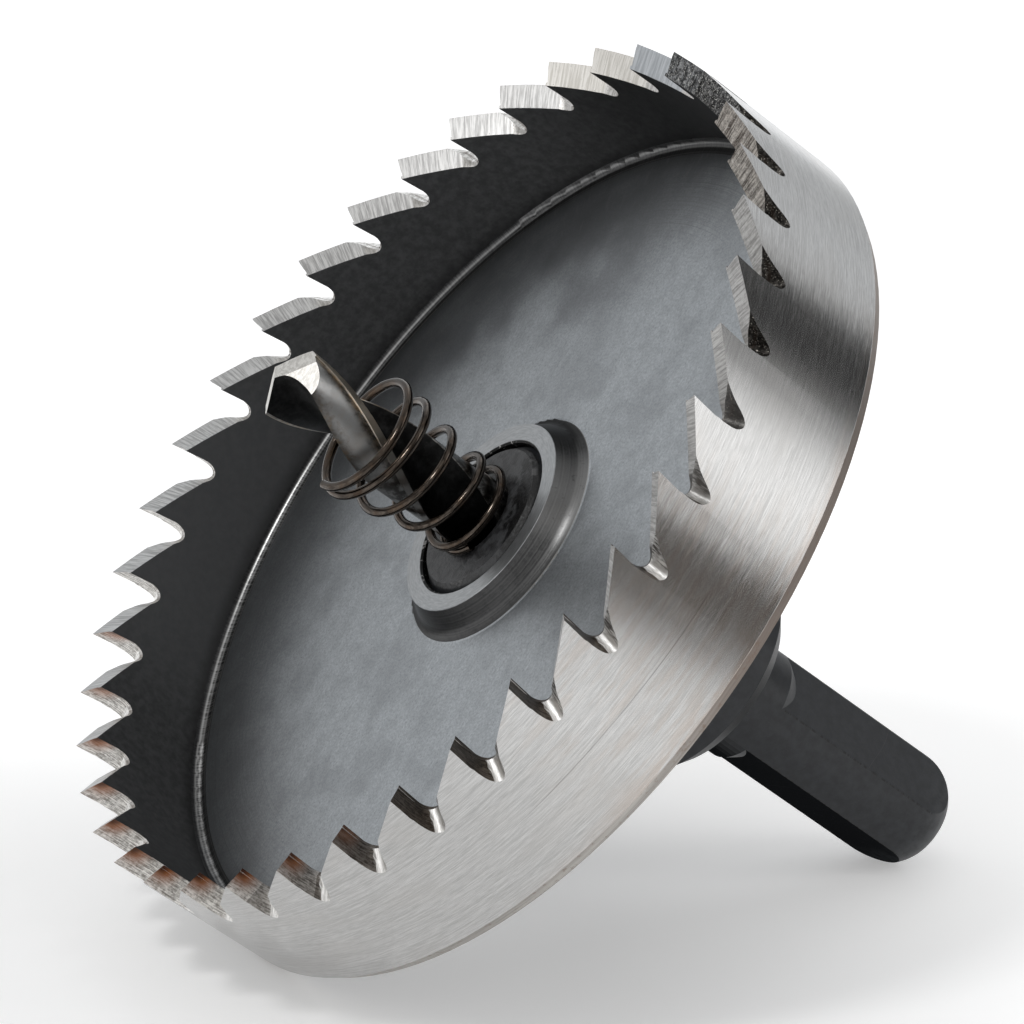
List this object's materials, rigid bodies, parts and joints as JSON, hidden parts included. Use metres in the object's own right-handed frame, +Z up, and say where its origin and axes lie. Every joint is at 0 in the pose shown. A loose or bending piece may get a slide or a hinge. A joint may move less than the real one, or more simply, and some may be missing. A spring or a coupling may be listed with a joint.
{
  "type": "hole saw",
  "caption": "Shallow toothed cup saw on a flatted drill shank, with a twist pilot drill and an ejector spring in its centre, lying on its rim and shank end.",
  "frame": {"origin": "on the bench under the middle of the tool as it lies, at the bottom centre of its bounding box", "axes": "+Z up from the bench; +X the way the tool axis leans, rising 37.88 degrees towards the pilot point; +Y across the tool"},
  "size_m": [0.094, 0.1, 0.0903],
  "materials": {
    "cup_steel": "brushed, ground teeth, dark inside",
    "black_oxide": "matte black oxide",
    "drill_steel": "ground, dark flutes",
    "spring_steel": "tempered bronze-brown wire",
    "screw_steel": "black oxide"
  },
  "bodies": {
    "root": {"saw_cup": "cup_steel", "arbor": "black_oxide", "pilot_drill": "drill_steel", "ejector_spring": "spring_steel", "set_screw": "screw_steel"}
  },
  "joints": []
}
